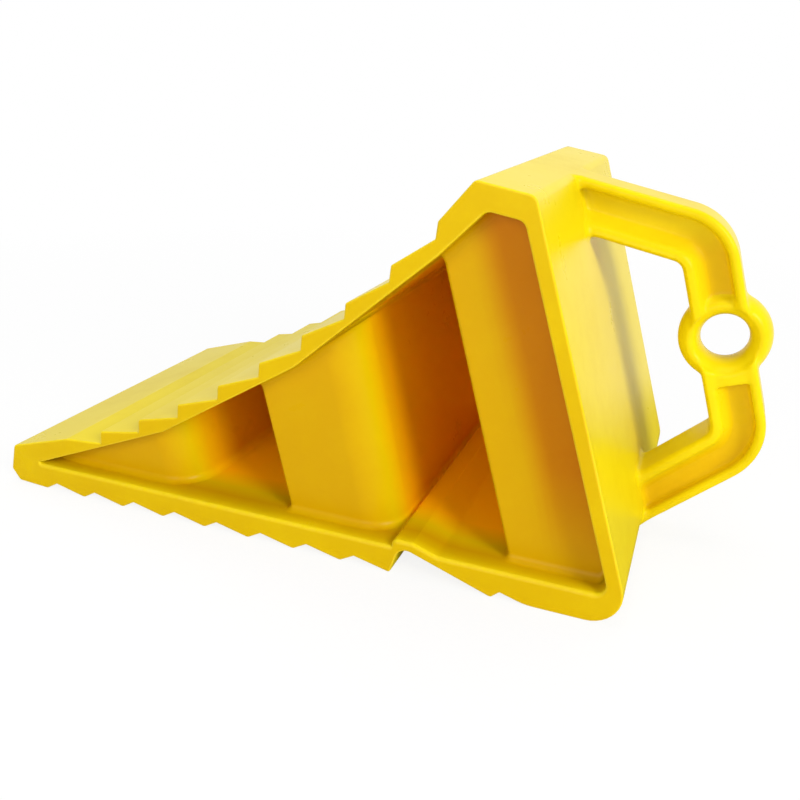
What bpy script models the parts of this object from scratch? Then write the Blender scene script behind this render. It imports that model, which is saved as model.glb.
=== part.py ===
"""Wheel chock with a carrying handle and a chain eyelet, in the members of its moulding.

Metres, +Z up. The nose points along -X, the handle along +X, and the chock
stands on Z = 0 with the middle of its length and of its width at the origin.
Side outlines are worked out as (station, height) points, where station 0 is
the nose, and are moved to the middle when a mesh is made.
"""

from math import atan2, ceil, cos, dist, pi, radians, sin, sqrt, tan

import bmesh
import bpy

# The whole moulding
WIDTH = 0.200
SEAM = 0.0003
FLOOR_HEIGHT = 0.015

# Nose
NOSE_HEIGHT = 0.0236
NOSE_RAKE = 0.0042
NOSE_CHIN_HEIGHT = 0.008
NOSE_UNDERCUT = 0.0048
NOSE_LIFT = 0.001
NOSE_ROUND = 0.0025
NOSE_POCKET = 0.004

# Teeth on the ground side, counted from the nose
GROUND_TOOTH_COUNT = 9
GROUND_TOOTH_START = 0.0244
GROUND_TOOTH_PITCH = 0.02706
GROUND_TOOTH_DEPTH = 0.0042
GROUND_TOOTH_RUN = 0.008
GROUND_TOOTH_LAND = 0.0012

# Biting notch behind the ground teeth, then the heel
NOTCH_DEPTH = 0.0160
NOTCH_RUN = 0.0056
NOTCH_LENGTH = 0.0525
NOTCH_ROUND = 0.004
NOTCH_SKIN = 0.0045
NOTCH_RIDGE_LENGTH = 0.004
HEEL_NOTCH_DEPTH = 0.0036
HEEL_NOTCH_RUN = 0.0045
HEEL_LEAD = 0.017
HEEL_LAND = 0.0311
HEEL_ROUND = 0.0135

# Curved ramp that takes the tyre: the tooth tips lie on one circle, and each tooth takes a
# share of the length from the ramp's start to the heel
RAMP_RADIUS = 0.550
RAMP_TOOTH_COUNT = 9
RAMP_TOOTH_SHARE = 0.1065
RAMP_START_STATION = 0.0692
RAMP_START_HEIGHT = 0.0446
RAMP_START_SLOPE = radians(22.6)
RAMP_RISER = 0.0074
RAMP_RISER_RAKE = 0.0008
RAMP_THICKNESS = 0.0105
RAMP_KNEE_STATION = 0.0444
RAMP_KNEE_HEIGHT = 0.0354

# Crest and back wall
CREST_CHAMFER_LENGTH = 0.0234
CREST_CHAMFER_SLOPE = radians(50.2)
CREST_CHAMFER_THICKNESS = 0.012
CREST_FALL = radians(9.8)
CREST_THICKNESS = 0.011
CREST_FRONT_ROUND = 0.003
CREST_REAR_ROUND = 0.005
BACK_WALL_LEAN = radians(17.9)
BACK_WALL_THICKNESS = 0.007
CREST_SEAM_DROP = 0.004
HEEL_SEAM_HEIGHT = 0.030

# Columns between the side pockets: their faces look towards -Y, and they are open towards +Y
COLUMN_SETBACK = 0.013
COLUMN_WALL = 0.005
COLUMN_ROUND = 0.020
FRONT_POCKET_LENGTH = 0.0602
FRONT_COLUMN_LEAN = radians(12.0)
MIDDLE_COLUMN_LENGTH = 0.0604
MIDDLE_COLUMN_FRONT_LEAN = radians(13.2)
MIDDLE_COLUMN_REAR_LEAN = radians(13.0)
REAR_COLUMN_LENGTH = 0.0493
REAR_COLUMN_LEAN = radians(16.0)

# Handle, an I-section bar in the middle of the width
HANDLE_THICKNESS = 0.028
HANDLE_WIDTH = 0.0255
HANDLE_FLANGE = 0.0055
HANDLE_WEB = 0.008
HANDLE_GAP = 0.041
HANDLE_INNER_ROUND = 0.007
UPPER_ARM_DROP = 0.0142
UPPER_ARM_FALL = radians(11.7)
UPPER_GRIP_SHARE = 0.4
LOWER_ARM_ROOT_HEIGHT = 0.0235
LOWER_ARM_RISE = radians(42.5)

# Eyelet in the grip
EYELET_BORE = 0.023
EYELET_OUTER = 0.0446
EYELET_THICKNESS = 0.023
EYELET_NECK = 0.003
EYELET_LAND = 0.001

# Finish and smoothness
PLASTIC_COLOUR = (0.86, 0.62, 0.01, 1.0)
PLASTIC_ROUGHNESS = 0.42
ARC_STEP = radians(10.0)
RAMP_ARC_STEPS = 24
EYELET_STEPS = 40
EYELET_RIM_STEPS = 14
SHARP_ANGLE = radians(35.0)


# Plane geometry on (station, height) points


def along(point, angle, distance):
    return (point[0] + distance * cos(angle), point[1] + distance * sin(angle))


def crossing(point_a, angle_a, point_b, angle_b):
    """Where two lines cross, each given by a point and a direction angle."""
    reach = (point_b[0] - point_a[0]) * sin(angle_b) - (point_b[1] - point_a[1]) * cos(angle_b)
    return along(point_a, angle_a, reach / sin(angle_b - angle_a))


def wrapped(angle):
    return (angle + pi) % (2 * pi) - pi


def arc(centre, radius, start, end):
    steps = ceil(abs(end - start) / ARC_STEP)
    return [along(centre, start + (end - start) * i / steps, radius) for i in range(steps + 1)]


def rounded(corners):
    """The open outline through corners of (station, height, radius), its corners rounded off."""
    points = [corners[0][:2]]
    for before, corner, after in zip(corners, corners[1:], corners[2:]):
        radius = corner[2]
        if radius == 0:
            points.append(corner[:2])
            continue
        back = atan2(before[1] - corner[1], before[0] - corner[0])
        ahead = atan2(after[1] - corner[1], after[0] - corner[0])
        half = wrapped(ahead - back) / 2
        centre = along(corner, back + half, radius / abs(sin(half)))
        tangent = along(corner, back, radius / tan(abs(half)))
        start = atan2(tangent[1] - centre[1], tangent[0] - centre[0])
        points += arc(centre, radius, start, start + wrapped(2 * (back + half + pi - start)))
    points.append(corners[-1][:2])
    return points


def height_at(outline, station):
    """Height at one station of an outline that runs towards +X."""
    for left, right in zip(outline, outline[1:]):
        if left[0] <= station <= right[0] and right[0] > left[0]:
            share = (station - left[0]) / (right[0] - left[0])
            return left[1] + share * (right[1] - left[1])
    raise ValueError(f"station {station:.4f} lies off the outline")


def clipped(outline, start, end):
    """The stretch of an outline between two stations."""
    inside = [point for point in outline if start < point[0] < end]
    return [(start, height_at(outline, start)), *inside, (end, height_at(outline, end))]


# Side outlines of the body


def ground_outline():
    """Underside from the first ground tooth to the end of the heel's flat."""
    half = GROUND_TOOTH_LAND / 2
    corners = []
    for tooth in range(GROUND_TOOTH_COUNT):
        tip = GROUND_TOOTH_START + tooth * GROUND_TOOTH_PITCH
        corners += [(tip - half, 0, 0), (tip + half, 0, 0)]
        corners.append((tip + GROUND_TOOTH_RUN, GROUND_TOOTH_DEPTH, 0))
    corners[-1] = (LAST_GROUND_TOOTH + NOTCH_RUN, NOTCH_DEPTH, NOTCH_ROUND)
    lip = LAST_GROUND_TOOTH + NOTCH_LENGTH
    corners += [(lip - half, 0, 0), (lip + half, 0, 0)]
    corners.append((lip + HEEL_NOTCH_RUN, HEEL_NOTCH_DEPTH, 0))
    corners.append((HEEL_START, 0, 0))
    corners.append((HEEL_END, 0, 0))
    return rounded(corners)


def ramp_outline():
    """Top side from the nose to the foot of the last riser."""
    points = [(NOSE_RAKE, NOSE_HEIGHT), (RAMP_KNEE_STATION, RAMP_KNEE_HEIGHT)]
    for tip in RAMP_TIPS:
        points += [(tip[0] - RAMP_RISER_RAKE, tip[1] - RAMP_RISER), tip]
    return points[:-1]


def underside_outline(gap):
    """Underside of the ramp, from the floor to the last riser, lowered by a gap."""
    radius = RAMP_RADIUS + RAMP_THICKNESS + gap
    rise = RAMP_CENTRE[1] - FLOOR_HEIGHT - gap
    start = RAMP_CENTRE[0] + sqrt(radius**2 - rise**2)
    step = (RAMP_TIPS[-1][0] - start) / RAMP_ARC_STEPS
    stations = [start + i * step for i in range(RAMP_ARC_STEPS + 1)]
    return [(s, RAMP_CENTRE[1] - sqrt(radius**2 - (s - RAMP_CENTRE[0]) ** 2)) for s in stations]


def floor_outline(gap):
    """Floor of the pockets, which steps up over the biting notch, raised by a gap."""
    floor = FLOOR_HEIGHT + gap
    ridge = NOTCH_TOP[1] + NOTCH_SKIN + gap
    points = [underside_outline(gap)[0]]
    if ridge > floor:
        slope = NOTCH_DEPTH / (NOTCH_LENGTH - NOTCH_RUN)
        ridge_end = NOTCH_TOP[0] + NOTCH_RIDGE_LENGTH + gap
        points += [(LAST_GROUND_TOOTH - gap, floor), (LAST_GROUND_TOOTH - gap, ridge)]
        points += [(ridge_end, ridge), (ridge_end + (ridge - floor) / slope, floor)]
    points.append(crossing(wall_line(BACK_WALL_THICKNESS + gap), WALL_ANGLE, (0, floor), 0))
    return points


def wall_line(depth):
    """A point at ground height on the back wall, at a depth behind its outer face."""
    return (WALL_FOOT[0] - depth / cos(BACK_WALL_LEAN), 0)


def on_wall(depth, height):
    return crossing(wall_line(depth), WALL_ANGLE, (0, height), 0)


def crest_inner(gap):
    """The crest's two inner corners, front then rear, moved inwards by a gap."""
    chamfer = along(RAMP_TIPS[-1], CREST_CHAMFER_SLOPE - pi / 2, CREST_CHAMFER_THICKNESS + gap)
    under = along(CREST_FRONT, -CREST_FALL - pi / 2, CREST_THICKNESS + gap)
    front = crossing(chamfer, CREST_CHAMFER_SLOPE, under, -CREST_FALL)
    rear = crossing(wall_line(BACK_WALL_THICKNESS + gap), WALL_ANGLE, under, -CREST_FALL)
    return front, rear


def pocket_outline(gap):
    """The closed outline of the space inside the shell, shrunk by a gap."""
    front, rear = crest_inner(gap)
    return underside_outline(gap) + [front, rear] + floor_outline(gap)[:0:-1]


def bend_reach(heading, next_heading):
    """How far from its corner a bend of the handle starts."""
    return BEND_RADIUS * tan(abs(wrapped(next_heading - heading)) / 2)


# Places that several members share

LAST_GROUND_TOOTH = GROUND_TOOTH_START + (GROUND_TOOTH_COUNT - 1) * GROUND_TOOTH_PITCH
HEEL_START = LAST_GROUND_TOOTH + NOTCH_LENGTH + HEEL_LEAD
HEEL_END = HEEL_START + HEEL_LAND
WALL_ANGLE = pi / 2 + BACK_WALL_LEAN
WALL_FOOT = (HEEL_END + HEEL_ROUND / tan((pi - WALL_ANGLE) / 2), 0)
RAMP_START = (RAMP_START_STATION, RAMP_START_HEIGHT)
RAMP_CENTRE = along(RAMP_START, RAMP_START_SLOPE + pi / 2, RAMP_RADIUS)
RAMP_FIRST_ANGLE = RAMP_START_SLOPE - pi / 2
RAMP_TOOTH_PITCH = RAMP_TOOTH_SHARE * (HEEL_END - RAMP_START_STATION)
RAMP_TIPS = [
    along(RAMP_CENTRE, RAMP_FIRST_ANGLE + tooth * RAMP_TOOTH_PITCH / RAMP_RADIUS, RAMP_RADIUS)
    for tooth in range(RAMP_TOOTH_COUNT)
]
CREST_FRONT = along(RAMP_TIPS[-1], CREST_CHAMFER_SLOPE, CREST_CHAMFER_LENGTH)
CREST_REAR = crossing(CREST_FRONT, -CREST_FALL, WALL_FOOT, WALL_ANGLE)
GROUND = ground_outline()
NOTCH_TOP = max((p for p in GROUND if p[0] < HEEL_START), key=lambda p: p[1])
RAMP = ramp_outline()
UNDERSIDE = underside_outline(0)
FLOOR = floor_outline(0)
POCKET_NOSE = UNDERSIDE[0]
NOSE_SEAM = max(POCKET_NOSE[0] + NOSE_POCKET, GROUND_TOOTH_START + GROUND_TOOTH_RUN)
CREST_SEAM = RAMP[-1][0]
BACK_SEAM_HEIGHT = crest_inner(0)[1][1] - CREST_SEAM_DROP

# Where the column walls stand on the floor
REAR_COLUMN_START = FLOOR[-1][0] - REAR_COLUMN_LENGTH
MIDDLE_COLUMN_END = LAST_GROUND_TOOTH - 2 * SEAM
MIDDLE_COLUMN_START = MIDDLE_COLUMN_END - MIDDLE_COLUMN_LENGTH
FRONT_COLUMN_END = MIDDLE_COLUMN_START - FRONT_POCKET_LENGTH

# The handle's centre line: an arm at each end of the back wall, and the grip with the eyelet between
GRIP_OFFSET = HANDLE_GAP + HANDLE_WIDTH / 2
GRIP_ANGLE = WALL_ANGLE - pi
LOWER_HEADING = LOWER_ARM_RISE - pi
BEND_RADIUS = HANDLE_INNER_ROUND + HANDLE_WIDTH / 2
UPPER_ROOT = on_wall(-SEAM, CREST_REAR[1] - UPPER_ARM_DROP)
LOWER_ROOT = on_wall(-SEAM, LOWER_ARM_ROOT_HEIGHT)
UPPER_CORNER = crossing(UPPER_ROOT, -UPPER_ARM_FALL, wall_line(-GRIP_OFFSET), WALL_ANGLE)
LOWER_CORNER = crossing(LOWER_ROOT, LOWER_ARM_RISE, wall_line(-GRIP_OFFSET), WALL_ANGLE)
UPPER_GRIP_START = along(UPPER_CORNER, GRIP_ANGLE, bend_reach(-UPPER_ARM_FALL, GRIP_ANGLE))
LOWER_GRIP_END = along(LOWER_CORNER, GRIP_ANGLE, -bend_reach(GRIP_ANGLE, LOWER_HEADING))
EYELET_LENGTH = EYELET_NECK + EYELET_OUTER + EYELET_LAND
PLAIN_GRIP_LENGTH = dist(UPPER_GRIP_START, LOWER_GRIP_END) - EYELET_LENGTH
EYELET_TOP = along(UPPER_GRIP_START, GRIP_ANGLE, UPPER_GRIP_SHARE * PLAIN_GRIP_LENGTH)
EYELET_CENTRE = along(EYELET_TOP, GRIP_ANGLE, EYELET_NECK + EYELET_OUTER / 2)
EYELET_BOTTOM = along(EYELET_TOP, GRIP_ANGLE, EYELET_LENGTH)
EYELET_MIDDLE_RADIUS = (EYELET_OUTER + EYELET_BORE) / 4


# Turning outlines into named objects


def plastic(name):
    material = bpy.data.materials.new(name + "_plastic")
    material.use_nodes = True
    shader = material.node_tree.nodes["Principled BSDF"]
    shader.inputs["Base Color"].default_value = PLASTIC_COLOUR
    shader.inputs["Roughness"].default_value = PLASTIC_ROUGHNESS
    shader.inputs["Metallic"].default_value = 0.0
    return material


def finished(name, bm):
    """A named object made from a bmesh, moved so that the middle of the length is at X = 0."""
    bmesh.ops.translate(bm, verts=bm.verts, vec=(-MIDDLE_STATION, 0, 0))
    bmesh.ops.recalc_face_normals(bm, faces=bm.faces)
    mesh = bpy.data.meshes.new(name)
    bm.to_mesh(mesh)
    bm.free()
    mesh.shade_smooth()
    mesh.set_sharp_from_angle(angle=SHARP_ANGLE)
    mesh.materials.append(plastic(name))
    member = bpy.data.objects.new(name, mesh)
    bpy.context.collection.objects.link(member)
    member.parent = CHOCK
    return member


def helper(name, bm):
    """An object that only cuts or adds to another."""
    cutter = finished(name, bm)
    cutter.hide_render = True
    cutter.display_type = "WIRE"
    return cutter


def combined(member, operation, other):
    modifier = member.modifiers.new(other.name, "BOOLEAN")
    modifier.operation = operation
    modifier.solver = "EXACT"
    modifier.object = other


def extruded(outline, start, end):
    """A side outline extruded across the width, from one Y to another."""
    bm = bmesh.new()
    face = bm.faces.new([bm.verts.new((x, start, z)) for x, z in outline])
    moved = bmesh.ops.extrude_face_region(bm, geom=[face])["geom"]
    verts = [item for item in moved if isinstance(item, bmesh.types.BMVert)]
    bmesh.ops.translate(bm, verts=verts, vec=(0, end - start, 0))
    return bm


def skinned(rings):
    """A body through closed rings of points, with its two ends filled."""
    bm = bmesh.new()
    loops = [[bm.verts.new(point) for point in ring] for ring in rings]
    for lower, upper in zip(loops, loops[1:]):
        for i in range(len(lower)):
            bm.faces.new([lower[i - 1], lower[i], upper[i], upper[i - 1]])
    bm.faces.new(loops[0])
    bm.faces.new(loops[-1])
    return bm


# Shell of the body


def shell(name, outline):
    return finished(name, extruded(outline, -WIDTH / 2, WIDTH / 2))


def nose_front():
    """The nose's outline from the first ground tooth, round its tip, to its seam on the ramp."""
    return rounded(
        [
            (*GROUND[0], 0),
            (NOSE_UNDERCUT, NOSE_LIFT, NOSE_ROUND),
            (0, NOSE_CHIN_HEIGHT, NOSE_ROUND),
            (*RAMP[0], NOSE_ROUND),
            (NOSE_SEAM, height_at(RAMP, NOSE_SEAM), 0),
        ]
    )


def make_nose():
    pocket = [*clipped(UNDERSIDE, POCKET_NOSE[0], NOSE_SEAM)[::-1], (NOSE_SEAM, FLOOR_HEIGHT)]
    ground = clipped(GROUND, GROUND[0][0], NOSE_SEAM)
    shell("nose", nose_front() + pocket + ground[:0:-1])


def make_ramp_deck():
    start = NOSE_SEAM + SEAM
    end = CREST_SEAM - SEAM
    shell("ramp_deck", clipped(RAMP, start, end) + clipped(UNDERSIDE, start, end)[::-1])


def make_crest():
    top = rounded(
        [
            (*RAMP_TIPS[-1], 0),
            (*CREST_FRONT, CREST_FRONT_ROUND),
            (*CREST_REAR, CREST_REAR_ROUND),
            (*on_wall(0, BACK_SEAM_HEIGHT), 0),
        ]
    )
    inner_front, inner_rear = crest_inner(0)
    inside = [on_wall(BACK_WALL_THICKNESS, BACK_SEAM_HEIGHT), inner_rear, inner_front]
    shell("crest", [RAMP[-1], *top, *inside, *clipped(UNDERSIDE, CREST_SEAM, UNDERSIDE[-1][0])[::-1]])


def make_back_wall():
    top = BACK_SEAM_HEIGHT - SEAM
    outer = [on_wall(0, HEEL_SEAM_HEIGHT), on_wall(0, top)]
    inner = [on_wall(BACK_WALL_THICKNESS, top), on_wall(BACK_WALL_THICKNESS, HEEL_SEAM_HEIGHT)]
    shell("back_wall", outer + inner)


def make_heel():
    top = HEEL_SEAM_HEIGHT - SEAM
    outer = rounded([(HEEL_START, 0, 0), (*WALL_FOOT, HEEL_ROUND), (*on_wall(0, top), 0)])
    inner = [on_wall(BACK_WALL_THICKNESS, top), FLOOR[-1], (HEEL_START, FLOOR_HEIGHT)]
    shell("heel", outer + inner)


def make_sole(name, start, end):
    shell(name, clipped(GROUND, start, end) + clipped(FLOOR, start, end)[::-1])


def make_shell():
    make_nose()
    make_ramp_deck()
    make_crest()
    make_back_wall()
    make_heel()
    make_sole("toothed_sole", NOSE_SEAM + SEAM, NOTCH_TOP[0] - SEAM)
    make_sole("heel_sole", NOTCH_TOP[0], HEEL_START - SEAM)


# Columns, webs and panels inside the shell


def leaning(foot, lean):
    """The station of a leaning face, as a function of height."""
    return lambda height: foot - tan(lean) * (height - FLOOR_HEIGHT)


def inside_shell(name, plan):
    """A member with a plan section for every height, cut off where it meets the shell."""
    heights = (0, CREST_FRONT[1])
    rings = [[(x, y, height) for x, y in plan(height)] for height in heights]
    combined(finished(name, skinned(rings)), "INTERSECT", POCKET)


def make_wall(name, front, rear, near, far):
    """A flat wall between two leaning faces and two depths."""

    def plan(height):
        return [
            (front(height), near),
            (rear(height), near),
            (rear(height), far),
            (front(height), far),
        ]

    inside_shell(name, plan)


def make_face(name, front, rear, radius):
    """A column's wall on the -Y side, which turns round a large corner at its rear."""

    def plan(height):
        centre = (rear(height) - radius, COLUMN_NEAR + radius)
        outer = arc(centre, radius, -pi / 2, 0)
        inner = arc(centre, radius - COLUMN_WALL, 0, -pi / 2)
        ends = (front(height), COLUMN_NEAR), (front(height), COLUMN_NEAR + COLUMN_WALL)
        return [ends[0], *outer, *inner, ends[1]]

    inside_shell(name, plan)


def shifted(face, distance):
    return lambda height: face(height) + distance


def make_rounded_column(prefix, front, rear, length):
    """A face with a rounded corner at its rear, and the web that runs from there to the far side."""
    radius = min(COLUMN_ROUND, length - COLUMN_WALL)
    make_face(prefix + "_face", front, rear, radius)
    rear_near = COLUMN_NEAR + radius + SEAM
    make_wall(prefix + "_rear_web", shifted(rear, -COLUMN_WALL), rear, rear_near, COLUMN_FAR)


def make_front_web(prefix, front):
    """The web that runs from a face's front edge to the far side."""
    front_near = COLUMN_NEAR + COLUMN_WALL + SEAM
    make_wall(prefix + "_front_web", front, shifted(front, COLUMN_WALL), front_near, COLUMN_FAR)


def make_panel(name, front, rear):
    """A panel that closes a side pocket on the far side, between two webs."""
    make_wall(name, shifted(front, SEAM), shifted(rear, -SEAM), COLUMN_FAR - COLUMN_WALL, COLUMN_FAR)


def make_columns():
    nose = leaning(POCKET_NOSE[0] + NOSE_POCKET, 0)
    front_rear = leaning(FRONT_COLUMN_END, FRONT_COLUMN_LEAN)
    middle_front = leaning(MIDDLE_COLUMN_START, MIDDLE_COLUMN_FRONT_LEAN)
    middle_rear = leaning(MIDDLE_COLUMN_END, MIDDLE_COLUMN_REAR_LEAN)
    rear_front = leaning(REAR_COLUMN_START, REAR_COLUMN_LEAN)
    wall = leaning(WALL_FOOT[0], BACK_WALL_LEAN)
    make_rounded_column("front", nose, front_rear, COLUMN_ROUND + COLUMN_WALL)
    make_rounded_column("middle", middle_front, middle_rear, MIDDLE_COLUMN_LENGTH)
    make_front_web("middle", middle_front)
    make_wall("rear_face", rear_front, wall, COLUMN_NEAR, COLUMN_NEAR + COLUMN_WALL)
    make_front_web("rear", rear_front)
    make_panel("front_pocket_panel", front_rear, middle_front)
    make_panel("middle_pocket_panel", middle_rear, rear_front)


# Handle


def handle_section():
    """The I-section, as (offset towards the outside, Y)."""
    edge = HANDLE_WIDTH / 2
    inner = edge - HANDLE_FLANGE
    flange = HANDLE_THICKNESS / 2
    web = HANDLE_WEB / 2
    half = [(edge, -flange), (edge, flange), (inner, flange), (inner, web), (-inner, web), (-inner, flange)]
    return half + [(-offset, -y) for offset, y in half]


def square_cut(point, heading):
    """A cut square across the handle, as (point, direction of the offset, stretch)."""
    return (point, heading + pi / 2, 1)


def wall_cut(root, heading, up):
    """A cut along the back wall, where an arm meets it at a slant."""
    direction = WALL_ANGLE if up else WALL_ANGLE - pi
    return (root, direction, 1 / cos(direction - heading - pi / 2))


def bend_cuts(corner, heading, next_heading):
    """The cuts round one corner of the handle."""
    turn = wrapped(next_heading - heading)
    start = along(corner, heading, -bend_reach(heading, next_heading))
    centre = along(start, heading - pi / 2, BEND_RADIUS)
    rail = arc(centre, BEND_RADIUS, heading + pi / 2, heading + pi / 2 + turn)
    return [square_cut(point, heading + turn * i / (len(rail) - 1)) for i, point in enumerate(rail)]


def moved(cut, distance):
    """A square cut moved along the handle."""
    point, direction, stretch = cut
    return (along(point, direction - pi / 2, distance), direction, stretch)


def handle_rings(cuts):
    """The handle's I-section carried through each cut."""
    rings = []
    for point, direction, stretch in cuts:
        places = [(along(point, direction, offset * stretch), y) for offset, y in handle_section()]
        rings.append([(x, y, z) for (x, z), y in places])
    return rings


def swept(name, cuts):
    finished(name, skinned(handle_rings(cuts)))


def make_handle():
    above_eyelet = square_cut(EYELET_TOP, GRIP_ANGLE)
    below_eyelet = square_cut(EYELET_BOTTOM, GRIP_ANGLE)
    upper_end = wall_cut(UPPER_ROOT, -UPPER_ARM_FALL, True)
    lower_end = wall_cut(LOWER_ROOT, LOWER_HEADING, False)
    swept("handle_upper_arm", [upper_end, moved(UPPER_BEND[0], -SEAM)])
    swept("handle_upper_bend", UPPER_BEND)
    swept("handle_upper_grip", [moved(UPPER_BEND[-1], SEAM), moved(above_eyelet, -SEAM)])
    swept("handle_lower_grip", [moved(below_eyelet, SEAM), moved(LOWER_BEND[0], -SEAM)])
    swept("handle_lower_bend", LOWER_BEND)
    swept("handle_lower_arm", [moved(LOWER_BEND[-1], SEAM), lower_end])


def full_turn(steps):
    return [2 * pi * i / steps for i in range(steps)]


def eyelet_ring():
    """A ring of oval section, whose bore runs across the chock."""
    half = (EYELET_OUTER - EYELET_BORE) / 4
    bm = bmesh.new()
    loops = []
    for turn in full_turn(EYELET_STEPS):
        loop = []
        for rim in full_turn(EYELET_RIM_STEPS):
            x, z = along(EYELET_CENTRE, turn, EYELET_MIDDLE_RADIUS + half * cos(rim))
            loop.append(bm.verts.new((x, EYELET_THICKNESS / 2 * sin(rim), z)))
        loops.append(loop)
    for i in range(EYELET_STEPS):
        for j in range(EYELET_RIM_STEPS):
            bm.faces.new([loops[i - 1][j - 1], loops[i - 1][j], loops[i][j], loops[i][j - 1]])
    return bm


def eyelet_land():
    """The solid stretch of the grip below the ring, from its centre down."""
    side = GRIP_ANGLE + pi / 2
    edge = HANDLE_WIDTH / 2
    outline = [along(EYELET_CENTRE, side, edge), along(EYELET_CENTRE, side, -edge)]
    outline += [along(EYELET_BOTTOM, side, -edge), along(EYELET_BOTTOM, side, edge)]
    return extruded(outline, -HANDLE_THICKNESS / 2, HANDLE_THICKNESS / 2)


def make_eyelet():
    """The ring, with the ends of the grip that carry it growing out of the middle of its rim."""
    eyelet = finished("eyelet", eyelet_ring())
    half_step = pi / EYELET_STEPS
    turns = [turn + half_step for turn in full_turn(EYELET_STEPS)]
    circle = [along(EYELET_CENTRE, turn, EYELET_MIDDLE_RADIUS) for turn in turns]
    clearance = helper("eyelet_clearance", extruded(circle, -HANDLE_THICKNESS, HANDLE_THICKNESS))
    neck_cuts = [square_cut(EYELET_TOP, GRIP_ANGLE), square_cut(EYELET_CENTRE, GRIP_ANGLE)]
    neck = helper("eyelet_neck", skinned(handle_rings(neck_cuts)))
    land = helper("eyelet_land", eyelet_land())
    for end in (neck, land):
        combined(end, "DIFFERENCE", clearance)
        combined(eyelet, "UNION", end)


def length_span():
    """The stations of the nose's foremost and the handle's rearmost point."""
    rear = [along(point, direction, HANDLE_WIDTH / 2) for point, direction, _ in LOWER_BEND]
    return min(nose_front())[0], max(rear)[0]


for old in list(bpy.data.objects):
    bpy.data.objects.remove(old)

UPPER_BEND = bend_cuts(UPPER_CORNER, -UPPER_ARM_FALL, GRIP_ANGLE)
LOWER_BEND = bend_cuts(LOWER_CORNER, GRIP_ANGLE, LOWER_HEADING)
MIDDLE_STATION = sum(length_span()) / 2
COLUMN_NEAR = -WIDTH / 2 + COLUMN_SETBACK
COLUMN_FAR = WIDTH / 2 - COLUMN_SETBACK
CHOCK = bpy.data.objects.new("wheel_chock", None)
bpy.context.collection.objects.link(CHOCK)
POCKET = helper("pocket_space", extruded(pocket_outline(SEAM), -WIDTH, WIDTH))

make_shell()
make_columns()
make_handle()
make_eyelet()
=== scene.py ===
from math import acos, atan2, ceil, cos, pi, radians, sin, tan

import bpy
import numpy as np
from mathutils import Matrix, Vector
from mathutils.geometry import tessellate_polygon


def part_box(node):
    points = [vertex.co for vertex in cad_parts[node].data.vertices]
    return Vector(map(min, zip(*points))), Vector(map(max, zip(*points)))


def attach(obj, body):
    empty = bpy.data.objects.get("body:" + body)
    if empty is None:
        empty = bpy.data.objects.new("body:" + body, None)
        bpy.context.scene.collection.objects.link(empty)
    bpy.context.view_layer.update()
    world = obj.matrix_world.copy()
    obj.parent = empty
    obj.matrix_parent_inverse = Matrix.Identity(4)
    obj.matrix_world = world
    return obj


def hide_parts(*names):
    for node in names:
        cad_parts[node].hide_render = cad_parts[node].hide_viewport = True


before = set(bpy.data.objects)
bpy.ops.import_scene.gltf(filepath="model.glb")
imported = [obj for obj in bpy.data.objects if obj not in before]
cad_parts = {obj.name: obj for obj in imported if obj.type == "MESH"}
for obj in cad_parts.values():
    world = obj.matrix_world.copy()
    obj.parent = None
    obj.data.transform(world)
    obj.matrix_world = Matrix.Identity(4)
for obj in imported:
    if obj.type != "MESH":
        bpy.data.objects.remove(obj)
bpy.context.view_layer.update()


# View: the photographer stands beside the heel and looks down on the chock's near side,
# through a lens of about 37 mm on a square frame.

camera_place = (0.162101, -0.422180, 0.232608)
camera_right = Vector((0.932029, 0.361255, 0.028579))
camera_up = Vector((-0.160044, 0.339584, 0.926860))
camera_axes = Matrix((camera_right, camera_up, camera_right.cross(camera_up))).transposed()
camera = bpy.data.objects.new("camera", bpy.data.cameras.new("camera"))
camera.data.lens = 36.5757
camera.data.sensor_width = 36.0
camera.matrix_world = Matrix.Translation(camera_place) @ camera_axes.to_4x4()
bpy.context.scene.collection.objects.link(camera)
bpy.context.scene.camera = camera
bpy.context.scene.view_settings.view_transform = "Standard"


# Table and light: a sheet of white card under the chock, in a pale room that is dimmer on
# the photographer's side. A large soft lamp behind the heel is the main light, with a weak
# one facing the near side and a wide one overhead.

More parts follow.
